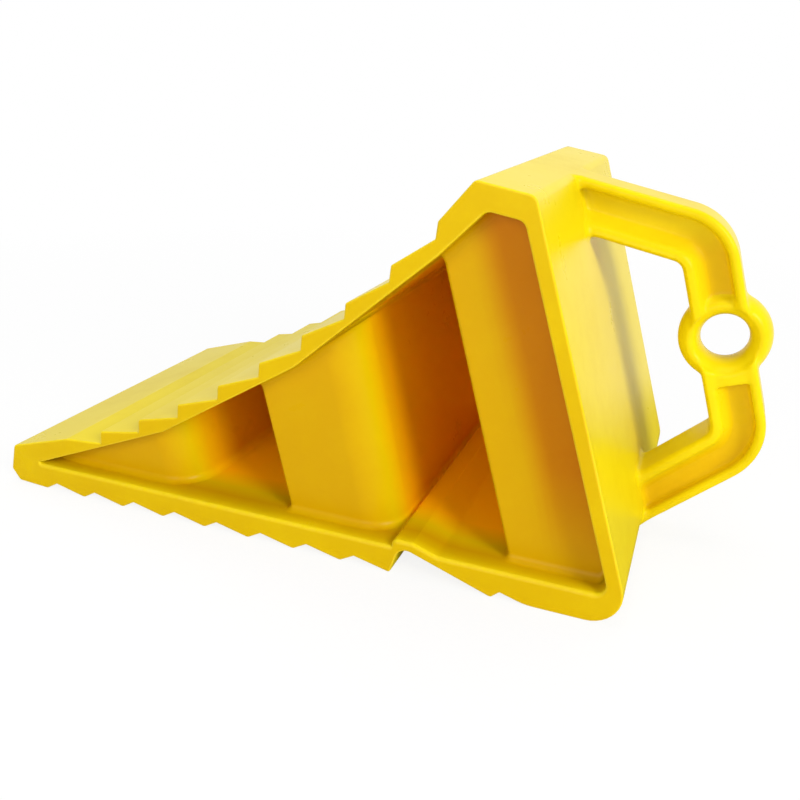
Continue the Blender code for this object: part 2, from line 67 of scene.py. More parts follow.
class Wire:
    """A node's output that takes part in sums: every operator adds a Math node to its tree."""

    def __init__(self, socket):
        self.socket = socket

    @staticmethod
    def node(tree, kind, settings=None, sockets=None, output=0):
        """Adds one node, with its settings first and then the values or wires of its sockets."""
        made = tree.nodes.new(kind)
        for name, value in (settings or {}).items():
            if name == "stops":
                made.color_ramp.elements.remove(made.color_ramp.elements[1])
                made.color_ramp.elements[0].position = value[0][0]
                made.color_ramp.elements[0].color = value[0][1]
                for position, colour in value[1:]:
                    made.color_ramp.elements.new(position).color = colour
            else:
                setattr(made, name, value)
        for name, value in (sockets or {}).items():
            if isinstance(value, Wire):
                tree.links.new(value.socket, made.inputs[name])
            else:
                made.inputs[name].default_value = value
        return Wire(made.outputs[output])

    def of(self, output):
        """Another output of the same node."""
        return Wire(self.socket.node.outputs[output])

    def into(self, kind, name):
        """Ends the tree in a node of a kind, with this output in its named socket."""
        tree = self.socket.id_data
        tree.links.new(self.socket, tree.nodes.new(kind).inputs[name])

    def maths(self, operation, *others):
        places = dict(enumerate((self, *others)))
        return Wire.node(self.socket.id_data, "ShaderNodeMath", {"operation": operation}, places)

    def turned_round(self, operation, first):
        places = {0: first, 1: self}
        return Wire.node(self.socket.id_data, "ShaderNodeMath", {"operation": operation}, places)

    def __add__(self, other):
        return self.maths("ADD", other)

    def __sub__(self, other):
        return self.maths("SUBTRACT", other)

    def __mul__(self, other):
        return self.maths("MULTIPLY", other)

    def __truediv__(self, other):
        return self.maths("DIVIDE", other)

    def __pow__(self, other):
        return self.maths("POWER", other)

    def __gt__(self, other):
        return self.maths("GREATER_THAN", other)

    def __lt__(self, other):
        return self.maths("LESS_THAN", other)

    def __abs__(self):
        return self.maths("ABSOLUTE")

    def __neg__(self):
        return self.maths("MULTIPLY", -1.0)

    def __rsub__(self, other):
        return self.turned_round("SUBTRACT", other)

    def __rtruediv__(self, other):
        return self.turned_round("DIVIDE", other)

    __radd__ = __add__
    __rmul__ = __mul__

    def larger(self, other):
        return self.maths("MAXIMUM", other)

    def smaller(self, other):
        return self.maths("MINIMUM", other)

    def clipped(self):
        """The value kept between 0 and 1."""
        return self.larger(0.0).smaller(1.0)


def emptied(owner):
    """The node tree of a material or a world, with nothing in it."""
    owner.use_nodes = True
    owner.node_tree.nodes.clear()
    return owner.node_tree


def mixed(tree, factor, first, second, blend="MIX"):
    """Two colours mixed by a factor, in the colour sockets of a Mix node."""
    settings = {"data_type": "RGBA", "blend_type": blend}
    return Wire.node(tree, "ShaderNodeMix", settings, {0: factor, 6: first, 7: second}, 2)


def shown_white(tree, glossy_share):
    """1 for rays that see the background straight or through glass, a share for those in gloss."""
    path = Wire.node(tree, "ShaderNodeLightPath", output="Is Camera Ray")
    return path.larger(path.of("Is Transmission Ray")).larger(path.of("Is Glossy Ray") * glossy_share)


def grey(level):
    return (level, level, level, 1)


table_half = 6.0
shadow_reach = 0.9
shadow_share = 0.16
whitening_start = 0.2
gloss_shade_reach = 0.39
gloss_shade_fade = 0.11
gloss_shade_share = 0.9
gloss_shade = grey(0.02)
fibre_scale = 400.0
card_stops = [(0.3, grey(0.82)), (0.7, grey(0.86))]
table_corners = [(x * table_half, y * table_half, 0) for x, y in ((-1, -1), (1, -1), (1, 1), (-1, 1))]
table_mesh = bpy.data.meshes.new("table")
table_mesh.from_pydata(table_corners, [], [(0, 1, 2, 3)])
table_card = bpy.data.materials.new("table_card")
tree = emptied(table_card)
place = Wire.node(tree, "ShaderNodeTexCoord", output="Object")
distance = Wire.node(tree, "ShaderNodeVectorMath", {"operation": "LENGTH"}, {0: place}, "Value")
kept_shadow = shadow_share * (1 - distance / shadow_reach).larger(0.0)
far_off = (distance / shadow_reach - whitening_start).clipped()
fibre = Wire.node(tree, "ShaderNodeTexNoise", None, {"Vector": place, "Scale": fibre_scale, "Detail": 3.0})
card_colour = Wire.node(tree, "ShaderNodeValToRGB", {"stops": card_stops}, {0: fibre})
# Gloss sees the card dark close to the chock, so that the back wall's sheen fades towards its foot.
close_by = ((gloss_shade_reach - distance) / gloss_shade_fade).clipped()
in_gloss = Wire.node(tree, "ShaderNodeLightPath", output="Is Glossy Ray")
seen_colour = mixed(tree, gloss_shade_share * close_by * in_gloss, card_colour, gloss_shade)
card = Wire.node(tree, "ShaderNodeBsdfDiffuse", None, {"Color": seen_colour})
white = Wire.node(tree, "ShaderNodeEmission", None, {"Color": grey(1), "Strength": 1.0})
whitened = shown_white(tree, far_off * far_off) * (1 - kept_shadow)
surface = Wire.node(tree, "ShaderNodeMixShader", None, {0: whitened, 1: card, 2: white})
surface.into("ShaderNodeOutputMaterial", "Surface")
table_mesh.materials.append(table_card)
table = bpy.data.objects.new("table", table_mesh)
bpy.context.scene.collection.objects.link(table)

room_level = 0.40
side_middle = 0.5
side_slope = 1.5
room = bpy.context.scene.world or bpy.data.worlds.new("room")
bpy.context.scene.world = room
tree = emptied(room)
towards = Wire.node(tree, "ShaderNodeTexCoord", output="Generated")
sideways = Wire.node(tree, "ShaderNodeSeparateXYZ", None, {0: towards}, "Y")
bright_side = (side_middle + side_slope * sideways).clipped()
level = room_level + (1 - room_level) * shown_white(tree, bright_side)
glow = Wire.node(tree, "ShaderNodeBackground", None, {"Color": grey(1), "Strength": level})
glow.into("ShaderNodeOutputWorld", "Surface")


def soft_lamp(name, place, aim, size, power):
    """A round lamp that is turned to its aim."""
    lamp = bpy.data.objects.new(name, bpy.data.lights.new(name, "AREA"))
    lamp.data.shape = "DISK"
    lamp.data.size = size
    lamp.data.energy = power
    direction = Vector(aim) - Vector(place)
    lamp.matrix_world = Matrix.Translation(place) @ direction.to_track_quat("-Z", "Y").to_matrix().to_4x4()
    bpy.context.scene.collection.objects.link(lamp)


soft_lamp("heel_lamp", place=(1.97, -1.30, 1.34), aim=(0.03, 0, 0.08), size=1.05, power=48)
soft_lamp("near_lamp", place=(-0.10, -1.38, 0.50), aim=(0.03, 0, 0.08), size=0.8, power=7.5)
soft_lamp("overhead_lamp", place=(-0.1, 0.15, 1.7), aim=(0, 0, 0.08), size=1.6, power=14)


# Shell: the outer band of the moulding, from the nose over the toothed ramp, the crest and
# the back wall to the heel and the toothed sole. It is moulded in one shot of yellow
# plastic, with small rounds on every edge so that it leaves the tool.

tip = -0.20306
half_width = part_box("back_wall")[1].y
rim_round = 0.0011
floor_rim_round = 0.0022
tooth_round = 0.0013
valley_round = 0.0009

nose_foot = (tip + 0.0048, 0.001)
nose_front = (tip, 0.008)
nose_top = (tip + 0.0042, 0.0236)
nose_round = 0.0025
lead_end = (tip + 0.0444, 0.0354)
lead_round = 0.006

ground_tooth_count = 9
ground_tooth_start = tip + 0.0244
ground_tooth_pitch = 0.02706
ground_tooth_depth = 0.0042
ground_tooth_run = 0.008
ground_tooth_half = 0.0006

notch_depth = 0.016
notch_run = 0.0056
notch_length = 0.0525
notch_round = 0.006
lip_run = 0.0045
lip_rise = 0.0036
lip_round = 0.0012

heel_lead = 0.017
heel_lead_round = 0.030
heel_land = 0.0311
heel_round = 0.0135
heel_corner = 0.0155

ramp_radius = 0.550
ramp_tooth_count = 9
ramp_tooth_pitch = 0.0289978
ramp_start = (tip + 0.0692, 0.0446)
ramp_slope = radians(22.6)
ramp_riser = 0.0074
ramp_rake = 0.0008
ramp_thickness = 0.0105

chamfer_length = 0.0234
chamfer_slope = radians(50.2)
chamfer_thickness = 0.012
crest_fall = radians(9.8)
crest_thickness = 0.011
crest_front_round = 0.003
crest_rear_round = 0.005
wall_lean = radians(17.9)
wall_thickness = 0.007

floor_height = 0.015
roof_lead = radians(5.2)
pocket_round = 0.005
pocket_nose_round = 0.0008
ridge_height = 0.01937
ridge_end = tip + 0.25312
ridge_run = 0.01282
ridge_foot_round = 0.008
ridge_end_round = 0.003
ridge_past_tooth = 0.0015
ridge_front_round = 0.0025
ridge_step_round = 0.0010

# Painted shade: the pocket depth that takes the deepest colour, and the share for faces that face the near
# and far sides.
painted_shade_depth = 0.075
side_painted_shade = 0.09
widest_step = radians(10)
fewest_steps = 3
between_rims = (-0.8, -0.4, 0.4, 0.8)
quarter_round = [radians(angle) for angle in (0, 22, 45, 68, 90)]


def along(point, heading, distance):
    return (point[0] + distance * cos(heading), point[1] + distance * sin(heading))


def crossing(point_a, heading_a, point_b, heading_b):
    """Where two lines cross, each given by a point and a heading."""
    reach = (point_b[0] - point_a[0]) * sin(heading_b) - (point_b[1] - point_a[1]) * cos(heading_b)
    return along(point_a, heading_a, reach / sin(heading_b - heading_a))


def corner_turn(before, corner, after):
    """The heading on the way into a corner, and the turn there, to the left if it is positive."""
    heading = atan2(corner[1] - before[1], corner[0] - before[0])
    turn = atan2(after[1] - corner[1], after[0] - corner[0]) - heading
    return heading, (turn + pi) % (2 * pi) - pi


def rounded_corner(before, corner, after, radius, count):
    """Points round one corner, each with the heading of its outward normal, on the right."""
    heading, turn = corner_turn(before, corner, after)
    side = 1 if turn > 0 else -1
    start = along(corner, heading, -radius * tan(abs(turn) / 2))
    centre = along(start, heading + side * pi / 2, radius)
    outs = [heading - pi / 2 + turn * i / count for i in range(count + 1)]
    return [(*along(centre, out, side * radius), out) for out in outs]


def all_corners(corners):
    """The corners of a closed outline, each between the one before it and the one after it."""
    return zip(corners[-1:] + corners, corners, corners[1:] + corners[:1])


def arc_count(turn):
    return max(fewest_steps, ceil(abs(turn) / widest_step))


def rounded(corners):
    """Points and normals of a closed outline of (x, z, radius) corners, with the solid on its left."""
    found = []
    for before, corner, after in all_corners(corners):
        count = arc_count(corner_turn(before, corner, after)[1])
        found += rounded_corner(before, corner, after, corner[2], count)
    found = np.array(found)
    return found[:, :2], np.stack([np.cos(found[:, 2]), np.sin(found[:, 2])], axis=1)


def new_tree(name, inputs):
    """A Geometry Nodes tree with named inputs, and wires to them by name."""
    made = bpy.data.node_groups.new(name, "GeometryNodeTree")
    made.interface.new_socket("Geometry", in_out="INPUT", socket_type="NodeSocketGeometry")
    made.interface.new_socket("Geometry", in_out="OUTPUT", socket_type="NodeSocketGeometry")
    for label, value in inputs.items():
        kind = "NodeSocketInt" if isinstance(value, int) else "NodeSocketFloat"
        made.interface.new_socket(label, in_out="INPUT", socket_type=kind)
    group = made.nodes.new("NodeGroupInput")
    return made, {socket.name: Wire(socket) for socket in group.outputs if socket.name}


def close_tree(tree, geometry, material):
    """Ends a tree: instances made real, material set, geometry handed out."""
    real = Wire.node(tree, "GeometryNodeRealizeInstances", None, {"Geometry": geometry})
    painted = Wire.node(tree, "GeometryNodeSetMaterial", None, {"Geometry": real, "Material": material})
    painted.into("NodeGroupOutput", "Geometry")


def grown(name, mesh, tree, inputs):
    """The plain mesh that a tree makes from a mesh and its inputs."""
    host = bpy.data.objects.new(name, mesh)
    bpy.context.scene.collection.objects.link(host)
    modifier = host.modifiers.new(name, "NODES")
    modifier.node_group = tree
    for item in tree.interface.items_tree:
        if item.in_out == "INPUT" and item.name in inputs:
            modifier[item.identifier] = inputs[item.name]
    graph = bpy.context.evaluated_depsgraph_get()
    graph.update()
    result = bpy.data.meshes.new_from_object(host.evaluated_get(graph))
    result.name = name
    bpy.data.objects.remove(host)
    return result


def moulded_yellow():
    """Plastic coloured right through, with painted light and shade: deeper in pockets, on side faces and in
    painted shadows in nooks; grained, and paler where scuffed.
    """
    # Painted light and shade: open faces lemon, side and set-back faces darker, and deep pockets a bright
    # orange that stands in for the warm light bounced inside them.
    painted_light_to_shade = [
        (0.00, (0.75, 0.592, 0.004, 1)),
        (0.09, (0.585, 0.380, 0.0005, 1)),
        (0.175, (0.530, 0.295, 0.0005, 1)),
        (0.30, (0.62, 0.430, 0.001, 1)),
        (0.52, (0.98, 0.490, 0.001, 1)),
        (1.00, (1.00, 0.480, 0.001, 1)),
    ]
    # Tint of the painted shadow, multiplied in where the mesh carries it.
    painted_shadow_tint = (0.91, 0.55, 0.30, 1)
    scuffed_colour = (0.93, 0.70, 0.10, 1)
    scuff_strength = 0.20
    scuff_level = 0.75
    mottle_strength = 0.12
    grain_strength = 0.10
    grain_depth = 0.0002
    smoothest = 0.22
    shine = 0.07
    material = bpy.data.materials.new("yellow_plastic")
    tree = emptied(material)
    place = Wire.node(tree, "ShaderNodeTexCoord", output="Object")

    def noise(scale, detail, roughness=0.5):
        values = {"Vector": place, "Scale": scale, "Detail": detail, "Roughness": roughness}
        return Wire.node(tree, "ShaderNodeTexNoise", None, values)

    def mask(name):
        """The value that the mesh carries under a name."""
        return Wire.node(tree, "ShaderNodeAttribute", {"attribute_name": name}, None, "Fac")

    cloud = noise(scale=14.0, detail=3.0)
    flow = noise(scale=60.0, detail=4.0, roughness=0.6)
    speck = noise(scale=420.0, detail=2.0)
    grain = noise(scale=1500.0, detail=2.0)
    scuff = (mask("edge") * (speck * 1.6 + flow * 0.8 - scuff_level)).clipped()
    mottle = cloud * 0.55 + flow * 0.35 + speck * 0.10 - 0.5
    # The painted shade level, with random mottle on top, picks the colour.
    depth = mask("shelter") + mottle * mottle_strength
    body_colour = Wire.node(tree, "ShaderNodeValToRGB", {"stops": painted_light_to_shade}, {0: depth})
    # Painted shadow multiplied into the colour.
    with_painted_shadow = mixed(tree, mask("nook"), body_colour, painted_shadow_tint, "MULTIPLY")
    colour = mixed(tree, scuff * scuff_strength, with_painted_shadow, scuffed_colour)
    relief = {"Strength": grain_strength, "Distance": grain_depth, "Height": grain * 0.6 + speck * 0.4}
    bump = Wire.node(tree, "ShaderNodeBump", None, relief, "Normal")
    finish = {
        "Base Color": colour,
        "Roughness": smoothest + cloud * 0.08 + flow * 0.06 + scuff * 0.15,
        "Specular IOR Level": shine,
        "Normal": bump,
    }
    shader = Wire.node(tree, "ShaderNodeBsdfPrincipled", None, finish)
    shader.into("ShaderNodeOutputMaterial", "Surface")
    return material


plastic = moulded_yellow()

row_sizes = ("Start X", "Start Z", "Pitch", "Radius", "First Angle", "Turn")
row_tree, wire = new_tree("tooth_row", {"Count": 1, **{size: 0.0 for size in row_sizes}})
tooth_index = Wire.node(row_tree, "GeometryNodeInputIndex")
row_angle = wire["First Angle"] + tooth_index * wire["Turn"]
row_place = Wire.node(
    row_tree,
    "ShaderNodeCombineXYZ",
    None,
    {
        "X": wire["Start X"] + tooth_index * wire["Pitch"] + wire["Radius"] * row_angle.maths("COSINE"),
        "Z": wire["Start Z"] + wire["Radius"] * row_angle.maths("SINE"),
    },
)
row_line = Wire.node(row_tree, "GeometryNodeMeshLine", None, {"Count": wire["Count"]})
row_points = Wire.node(
    row_tree, "GeometryNodeSetPosition", None, {"Geometry": row_line, "Position": row_place}
)
row_teeth = Wire.node(
    row_tree, "GeometryNodeInstanceOnPoints", None, {"Points": row_points, "Instance": wire["Geometry"]}
)
close_tree(row_tree, row_teeth, plastic)


def tooth_row(name, tooth, inputs):
    """The corners of a row of teeth, from one tooth's corners of (x, z)."""
    mesh = bpy.data.meshes.new(name)
    mesh.from_pydata([(x, 0, z) for x, z in tooth], [(i, i + 1) for i in range(len(tooth) - 1)], [])
    row = grown(name, mesh, row_tree, inputs)
    return [(vertex.co.x, vertex.co.z) for vertex in row.vertices]


ground_teeth = tooth_row(
    "ground_teeth",
    [(-ground_tooth_half, 0), (ground_tooth_half, 0), (ground_tooth_run, ground_tooth_depth)],
    {"Count": ground_tooth_count, "Start X": ground_tooth_start, "Pitch": ground_tooth_pitch},
)
ramp_centre = along(ramp_start, ramp_slope + pi / 2, ramp_radius)
ramp_teeth = tooth_row(
    "ramp_teeth",
    [(-ramp_rake, -ramp_riser), (0, 0)],
    {
        "Count": ramp_tooth_count,
        "Start X": ramp_centre[0],
        "Start Z": ramp_centre[1],
        "Radius": ramp_radius,
        "First Angle": ramp_slope - pi / 2,
        "Turn": ramp_tooth_pitch / ramp_radius,
    },
)

last_tooth = ground_tooth_start + (ground_tooth_count - 1) * ground_tooth_pitch
lip = last_tooth + notch_length
heel_start = lip + heel_lead
wall_heading = pi / 2 + wall_lean
wall_foot = (heel_start + heel_land + heel_round / tan((pi - wall_heading) / 2), 0)
crest_front = along(ramp_teeth[-1], chamfer_slope, chamfer_length)
crest_rear = crossing(crest_front, -crest_fall, wall_foot, wall_heading)

outline = [(*nose_foot, nose_round)]
for x, z in ground_teeth[:-1]:
    outline.append((x, z, tooth_round if z < ground_tooth_depth / 2 else valley_round))
outline += [(last_tooth + notch_run, notch_depth, notch_round)]
outline += [(lip - ground_tooth_half, 0, tooth_round), (lip + ground_tooth_half, 0, tooth_round)]
outline += [(lip + lip_run, lip_rise, lip_round), (heel_start, 0, heel_lead_round)]
outline += [(*wall_foot, heel_corner), (*crest_rear, crest_rear_round), (*crest_front, crest_front_round)]
for foot, point in zip(ramp_teeth[-2::-2], ramp_teeth[::-2]):
    outline += [(*point, tooth_round), (*foot, valley_round)]
outline += [(*lead_end, lead_round), (*nose_top, nose_round), (*nose_front, nose_round)]

wall_inside = (wall_foot[0] - wall_thickness / cos(wall_lean), 0)
roof_radius = ramp_radius + ramp_thickness
chamfer_under = along(ramp_teeth[-1], chamfer_slope - pi / 2, chamfer_thickness)
crest_under = along(crest_front, -crest_fall - pi / 2, crest_thickness)
inner_front = crossing(chamfer_under, chamfer_slope, crest_under, -crest_fall)
to_front = Vector(inner_front) - Vector(ramp_centre)
roof_first = ramp_slope - pi / 2 - roof_lead
roof_last = atan2(to_front.y, to_front.x) - acos(roof_radius / to_front.length)
roof_start = along(ramp_centre, roof_first, roof_radius)
roof_corner = crossing(roof_start, roof_first + pi / 2, inner_front, roof_last + pi / 2)
pocket_nose = crossing(roof_start, roof_first + pi / 2, (0, floor_height), 0)
inner_rear = crossing(wall_inside, wall_heading, crest_under, -crest_fall)
floor_rear = crossing(wall_inside, wall_heading, (0, floor_height), 0)
ridge_front = last_tooth + ridge_past_tooth
pocket = [
    (*pocket_nose, pocket_nose_round),
    (*roof_corner, roof_radius),
    (*inner_front, pocket_round),
    (*inner_rear, pocket_round),
    (*floor_rear, pocket_round),
    (ridge_end + ridge_run, floor_height, ridge_foot_round),
    (ridge_end, ridge_height, ridge_end_round),
    (ridge_front, ridge_height, ridge_front_round),
    (ridge_front, floor_height, ridge_step_round),
]


def store_mask(mesh, name, values):
    """Gives each point of a mesh a value that the material reads by name."""
    mask = mesh.attributes.new(name, "FLOAT", "POINT")
    mask.data.foreach_set("value", np.asarray(values, dtype=np.float32))


def moulding(name, points, faces, normals, edge, depth):
    """A smooth closed mesh with its own normals, and masks of its scuffed edges and of its painted shade, by
    depth in a pocket and by facing the sides.
    """
    mesh = bpy.data.meshes.new(name)
    mesh.from_pydata([tuple(point) for point in points], [], faces)
    mesh.shade_smooth()
    # Painted shade: a deeper colour the deeper a point lies in a pocket, and a little on faces that face the
    # near and far sides.
    shelter = np.maximum(depth / painted_shade_depth, side_painted_shade * normals[:, 1] ** 2)
    store_mask(mesh, "edge", edge)
    store_mask(mesh, "shelter", np.clip(shelter, 0, 1))
    lengths = np.linalg.norm(normals, axis=1, keepdims=True)
    mesh.normals_split_custom_set_from_vertices((normals / lengths).tolist())
    mesh.materials.append(plastic)
    made = bpy.data.objects.new(name, mesh)
    bpy.context.scene.collection.objects.link(made)
    return made


def rim_rings(corners, low_round, tips):
    """Rings of an outline from the near rim to the far one, as points, normals and edge masks."""
    flat, out = rounded(corners)
    edge_round = (rim_round + (low_round - rim_round) * out[:, 1].clip(0, 1) ** 2)[:, None]
    steps = [(-1, angle) for angle in reversed(quarter_round)]
    steps += [(share, 0) for share in between_rims]
    steps += [(1, angle) for angle in quarter_round]
    rings = []
    for side, angle in steps:
        inset = flat - out * edge_round * (1 - cos(angle))
        y = side * (half_width - edge_round * (1 - sin(angle)))
        points = np.column_stack([inset[:, 0], y[:, 0], inset[:, 1]])
        sideways = np.full(len(flat), side * sin(angle))
        normals = np.column_stack([out[:, 0] * cos(angle), sideways, out[:, 1] * cos(angle)])
        rings.append((points, normals, np.maximum(sin(2 * angle), tips)))
    return rings


def tip_mask(corners):
    """1 on the tight rounds of an outline's teeth, 0 elsewhere."""
    mask = []
    for before, corner, after in all_corners(corners):
        turn = corner_turn(before, corner, after)[1]
        count = arc_count(turn)
        is_tip = turn > 0 and corner[2] <= tooth_round
        mask += [sin(pi * i / count) if is_tip else 0 for i in range(count + 1)]
    return np.array(mask)


shell_points, shell_normals, shell_edges, shell_depths, shell_faces, rim_loops = [], [], [], [], [], []
for corners, low_round, open_to_light in ((outline, rim_round, True), (pocket, floor_rim_round, False)):
    rings = rim_rings(corners, low_round, tip_mask(corners))
    count = len(rings[0][0])
    base = sum(len(block) for block in shell_points)
    last = base + (len(rings) - 1) * count
    for ring, (points, normals, edge) in enumerate(rings):
        shell_points.append(points)
        shell_normals.append(normals)
        shell_edges.append(edge)
        shell_depths.append(np.zeros(count) if open_to_light else half_width - abs(points[:, 1]))
        if ring:
            low, high = base + (ring - 1) * count, base + ring * count
            for i in range(count):
                j = (i + 1) % count
                shell_faces.append((low + i, high + i, high + j, low + j))
    rim_loops.append((range(base, base + count), range(last, last + count)))
shell_points = np.concatenate(shell_points)
for side in (0, 1):
    loops = [list(pair[side]) for pair in rim_loops]
    order = loops[0] + loops[1]
    for a, b, c in tessellate_polygon([[Vector(shell_points[i]) for i in loop] for loop in loops]):
        a, b, c = order[a], order[b], order[c]
        facing = np.cross(shell_points[b] - shell_points[a], shell_points[c] - shell_points[a])[1]
        shell_faces.append((a, b, c) if (facing > 0) == (side == 1) else (a, c, b))
shell = moulding(
    "shell",
    shell_points,
    shell_faces,
    np.concatenate(shell_normals),
    np.concatenate(shell_edges),
    np.concatenate(shell_depths),
)
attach(shell, "root")
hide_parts("nose", "ramp_deck", "crest", "back_wall", "heel", "toothed_sole", "heel_sole")


# Pocket wall: one folded wall inside the shell, which makes the three columns and the two
# deep pockets between them. It is part of the same shot, with soft fillets at floor and roof.

face_inset = 0.013
wall_skin = 0.005
near_side = -half_width + face_inset
deep_side = half_width - face_inset - wall_skin
column_round = 0.020
front_round = 0.002
deep_round = 0.0055
least_round = 0.001
floor_fillet = 0.004
roof_fillet = 0.003
most_floor_fillet = 0.45
most_roof_fillet = 0.35
floor_sunk = 0.003
roof_sunk = 0.0012
nose_sunk = 0.002
rear_sunk = 0.003
least_room = 0.0003
slope_step = 0.001
roof_tries = 20
fold_steps = 14
face_spans, web_spans = 12, 2
middle_row = 0.3
# A painted shadow on the pocket wall beside the back wall, where the proud back rim shades it.
rim_shadow_reach = 0.030
rim_shadow_fade = 0.016
rim_shadow_foot = 0.005
rim_shadow_rise = 0.060

front_lean, middle_front_lean, middle_rear_lean = radians(12.0), radians(13.2), radians(13.0)
rear_lean = radians(16.0)
front_end = tip + 0.11968
middle_start, middle_end = tip + 0.17988, tip + 0.24028
rear_start = tip + 0.29853
folds = [
    (pocket_nose[0] - nose_sunk, near_side, 0, 0),
    (front_end, near_side, column_round, front_lean),
    (front_end, deep_side, deep_round, front_lean),
    (middle_start, deep_side, deep_round, middle_front_lean),
    (middle_start, near_side, front_round, middle_front_lean),
    (middle_end, near_side, column_round, middle_rear_lean),
    (middle_end, deep_side, deep_round, middle_rear_lean),
    (rear_start, deep_side, deep_round, rear_lean),
    (rear_start, near_side, front_round, rear_lean),
    (floor_rear[0] + rear_sunk, near_side, 0, wall_lean),
]

# The pocket's roof and floor as lines of rising x. The roof runs on past its rear corner.
rear_corner_length = 0.006
roof_overrun = 0.08
point_gap = 1e-7
pocket_points = rounded(pocket)[0]
turn_back = int(np.argmax(pocket_points[:, 0]))
roof_line = np.array([p for p in pocket_points[:turn_back] if p[0] < inner_rear[0] - rear_corner_length])
roof_line = np.vstack([roof_line, inner_rear, along(inner_rear, -crest_fall, roof_overrun)])
floor_line = pocket_points[turn_back:][::-1]
floor_line[:, 0] += np.arange(len(floor_line)) * point_gap


def all_folds(folds):
    """The folds of an open path, each between its neighbours, and the ends beside themselves."""
    return zip(folds[:1] + folds, folds, folds[1:] + folds[-1:])


def other_side(folds, distance):
    """The folds of the wall's far skin, a distance to the left of its near one."""
    moved = []
    for before, fold, after in all_folds(folds):
        x, y, radius, lean = fold
        if radius == 0:
            moved.append((x, y + distance, 0, lean))
            continue
        heading, turn = corner_turn(before, fold, after)
        reach = distance * tan(turn / 2)
        place = along(along(fold, heading, -reach), heading + pi / 2, distance)
        moved.append((*place, max(radius - distance, least_round) if turn > 0 else radius + distance, lean))
    return moved


def skin_path(folds):
    """Points along a folded skin, as (x, y, heading of the normal, tangent of the lean)."""
    path = []
    for before, fold, after in all_folds(folds):
        slant = tan(fold[3])
        if fold[2] == 0:
            stop = [(fold[0], fold[1], -pi / 2, slant)]
        else:
            stop = [(*place, slant) for place in rounded_corner(before, fold, after, fold[2], fold_steps)]
        if path:
            start, end = np.array(path[-1]), np.array(stop[0])
            spans = face_spans if abs(end[0] - start[0]) > abs(end[1] - start[1]) else web_spans
            for i in range(1, spans):
                path.append(tuple(start + (end - start) * i / spans))
        path += stop
    return path


def on_line(x, line):
    return np.interp(x, line[:, 0], line[:, 1])


def skin_rings(path, facing):
    """Columns of points and normals of one skin, from under the floor to over the roof."""
    grid, grid_normals = [], []
    for x, y, out, slant in path:
        side = np.array([cos(out), sin(out), 0]) * facing
        low = on_line(x, floor_line)
        high = low
        for _ in range(roof_tries):
            high = on_line(x - slant * (high - floor_height), roof_line)
        top_x = x - slant * (high - floor_height)
        rise = on_line(top_x + slope_step, roof_line) - on_line(top_x - slope_step, roof_line)
        slope = atan2(rise, 2 * slope_step)
        down = np.array([sin(slope), 0, -cos(slope)])
        room = max(high - low, least_room)
        high = low + room
        lower = min(floor_fillet, most_floor_fillet * room)
        upper = min(roof_fillet, most_roof_fillet * room)
        steps = [(low - floor_sunk, lower, side)]
        for angle in quarter_round:
            blend = side * sin(angle) + np.array([0, 0, cos(angle)])
            steps.append((low + lower * (1 - cos(angle)), lower * (1 - sin(angle)), blend))
        steps.append((low + middle_row * (room - upper) + (1 - middle_row) * lower, 0, side))
        for angle in reversed(quarter_round):
            blend = side * sin(angle) + down * cos(angle)
            steps.append((high - upper * (1 - cos(angle)) / cos(slope), upper * (1 - sin(angle)), blend))
        buried = on_line(top_x + side[0] * upper, roof_line)
        steps.append((max(high, buried) + roof_sunk, upper, side))
        column = []
        for z, flare, _ in steps:
            column.append((x - slant * (z - floor_height) + side[0] * flare, y + side[1] * flare, z))
        grid.append(column)
        grid_normals.append([normal for _, _, normal in steps])
    return np.array(grid), np.array(grid_normals)


near_grid, near_normals = skin_rings(skin_path(folds), 1)
far_grid, far_normals = skin_rings(skin_path(other_side(folds, wall_skin)), -1)
columns, levels = near_grid.shape[:2]
behind = columns * levels
wall_faces = []
for i in range(columns - 1):
    for k in range(levels - 1):
        a, b = i * levels + k, (i + 1) * levels + k
        wall_faces.append((a, b, b + 1, a + 1))
        wall_faces.append((behind + a, behind + a + 1, behind + b + 1, behind + b))
    a, b = i * levels, (i + 1) * levels
    wall_faces.append((a, behind + a, behind + b, b))
    a, b = a + levels - 1, b + levels - 1
    wall_faces.append((a, b, behind + b, behind + a))
for k in range(levels - 1):
    wall_faces.append((k, k + 1, behind + k + 1, behind + k))
    a = (columns - 1) * levels + k
    wall_faces.append((a, behind + a, behind + a + 1, a + 1))
wall_points = np.concatenate([near_grid.reshape(-1, 3), far_grid.reshape(-1, 3)])
wall_normals = np.concatenate([near_normals.reshape(-1, 3), far_normals.reshape(-1, 3)])
wall_depths = half_width + np.where(np.arange(2 * behind) < behind, 1, -1) * wall_points[:, 1]
no_edges = np.zeros(2 * behind)
pocket_wall = moulding("pocket_wall", wall_points, wall_faces, wall_normals, no_edges, wall_depths)
# Painted shadow: darker and more orange within reach of the back wall, fading out towards the floor.
ahead, above = floor_rear[0] - wall_points[:, 0], wall_points[:, 2] - floor_height
to_wall = ahead * cos(wall_lean) - above * sin(wall_lean)
rim_shadow = np.clip((rim_shadow_reach - to_wall) / rim_shadow_fade, 0, 1)
rim_shadow *= np.clip((wall_points[:, 2] - rim_shadow_foot) / rim_shadow_rise, 0, 1)
store_mask(pocket_wall.data, "nook", rim_shadow * rim_shadow * (3 - 2 * rim_shadow))
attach(pocket_wall, "root")
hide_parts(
    "front_face",
    "front_rear_web",
    "middle_face",
    "middle_front_web",
    "middle_rear_web",
    "rear_face",
    "rear_front_web",
    "front_pocket_panel",
    "middle_pocket_panel",
)


# Handle: an I-section bar that bends out of the back wall and back into it, with an eyelet
# for a chain in its grip. It grows out of the wall in the same shot, so its form is one
# rule of blended bars, and a tree turns that rule into a skin.

